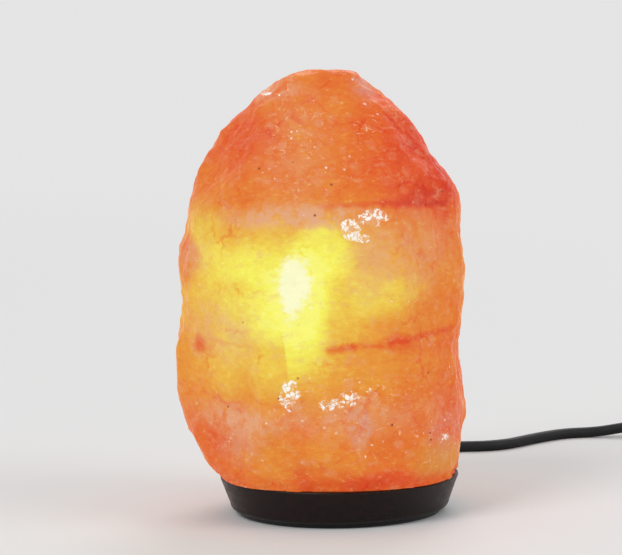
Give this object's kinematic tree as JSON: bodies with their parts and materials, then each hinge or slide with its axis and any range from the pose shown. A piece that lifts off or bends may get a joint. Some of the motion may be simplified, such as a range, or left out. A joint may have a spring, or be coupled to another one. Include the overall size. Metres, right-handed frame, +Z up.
{
  "type": "salt crystal lamp",
  "caption": "Hewn rock salt crystal on a round dark wooden base, hollow for a small screw-in bulb, with a black cord, in-line rocker switch and flat two-pin plug.",
  "frame": {"origin": "on the table, on the common axis of the base, the lampholder and the bulb", "axes": "+Z up, -Y towards the front of the picture, +X to the right of it"},
  "size_m": [0.38, 0.2954, 0.2226],
  "materials": {
    "salt": "rough, layered and translucent rock salt",
    "dark_wood": "dark stained, satin",
    "felt": "felt",
    "steel": "zinc plated",
    "black_plastic": "fine matte",
    "rocker_plastic": "gloss",
    "ceramic": "unglazed steatite",
    "brass": "pressed sheet",
    "plated_brass": "nickel plated brass",
    "aluminium": "pressed sheet",
    "vitrite": "dark fused glass",
    "solder": "dull solder and nickel wire",
    "filament": "glowing tungsten",
    "bulb_glass": "clear",
    "cord": "matte black PVC",
    "wire_insulation": "thin PVC"
  },
  "bodies": {
    "light_unit": {"holder_cap": "black_plastic", "holder_sleeve": "black_plastic", "contact_block": "ceramic", "holder_terminals": "brass", "terminal_screws": "steel", "centre_contact": "brass", "side_contact": "brass", "thread_shell": "brass", "cord_nipple": "steel", "nipple_nut": "steel", "spring_clip": "steel", "cord_grip": "black_plastic", "grip_screws": "steel", "holder_leads": "wire_insulation", "cord_lamp_side": "cord", "cord_middle": "cord", "cord_coil": "cord", "cord_plug_side": "cord", "switch_case_bottom": "black_plastic", "switch_case_top": "black_plastic", "switch_case_screws": "steel", "switch_terminals": "brass", "switch_terminal_screws": "steel", "switch_clamps": "black_plastic", "switch_clamp_screws": "steel", "switch_wires": "wire_insulation", "plug_body": "cord", "plug_pins": "plated_brass", "plug_pin_sleeves": "black_plastic"},
    "crystal_stand": {"salt_crystal": "salt", "wooden_base": "dark_wood", "base_screws": "steel", "felt_ring": "felt"},
    "bulb_tip": {"bulb_contact": "solder"},
    "bulb": {"bulb_cap": "aluminium", "bulb_insulator": "vitrite", "bulb_glass": "bulb_glass", "bulb_stem": "bulb_glass", "bulb_leads": "solder", "filament_support": "solder", "bulb_filament": "filament"},
    "rocker": {"switch_rocker": "rocker_plastic", "switch_plunger": "brass"},
    "seesaw": {"switch_seesaw": "brass"}
  },
  "joints": [
    {"name": "crystal_lift", "type": "slide", "parent": "light_unit", "child": "crystal_stand", "axis": [0, 0, 1], "range_m": [0, 0.125]},
    {"name": "bulb_rise", "type": "slide", "parent": "light_unit", "child": "bulb_tip", "axis": [0, 0, 1], "range_m": [0, 0.0099]},
    {"name": "bulb_unscrew", "type": "hinge", "parent": "bulb_tip", "child": "bulb", "pos_m": [0, 0, 0.06], "axis": [0, 0, 1], "range_deg": [0, 1260]},
    {"name": "rocker_tilt", "type": "hinge", "parent": "light_unit", "child": "rocker", "pos_m": [0.215, 0.22, 0.012], "axis": [0, -1, 0], "range_deg": [0, 20]},
    {"name": "seesaw_tilt", "type": "hinge", "parent": "light_unit", "child": "seesaw", "pos_m": [0.215, 0.22, 0.0062], "axis": [0, 1, 0], "range_deg": [0, 16]}
  ],
  "couplings": [
    {"joint": "bulb_rise", "follows": "bulb_unscrew", "m_per_rad": 0.00044882},
    {"joint": "seesaw_tilt", "follows": "rocker_tilt", "ratio": 0.8}
  ]
}
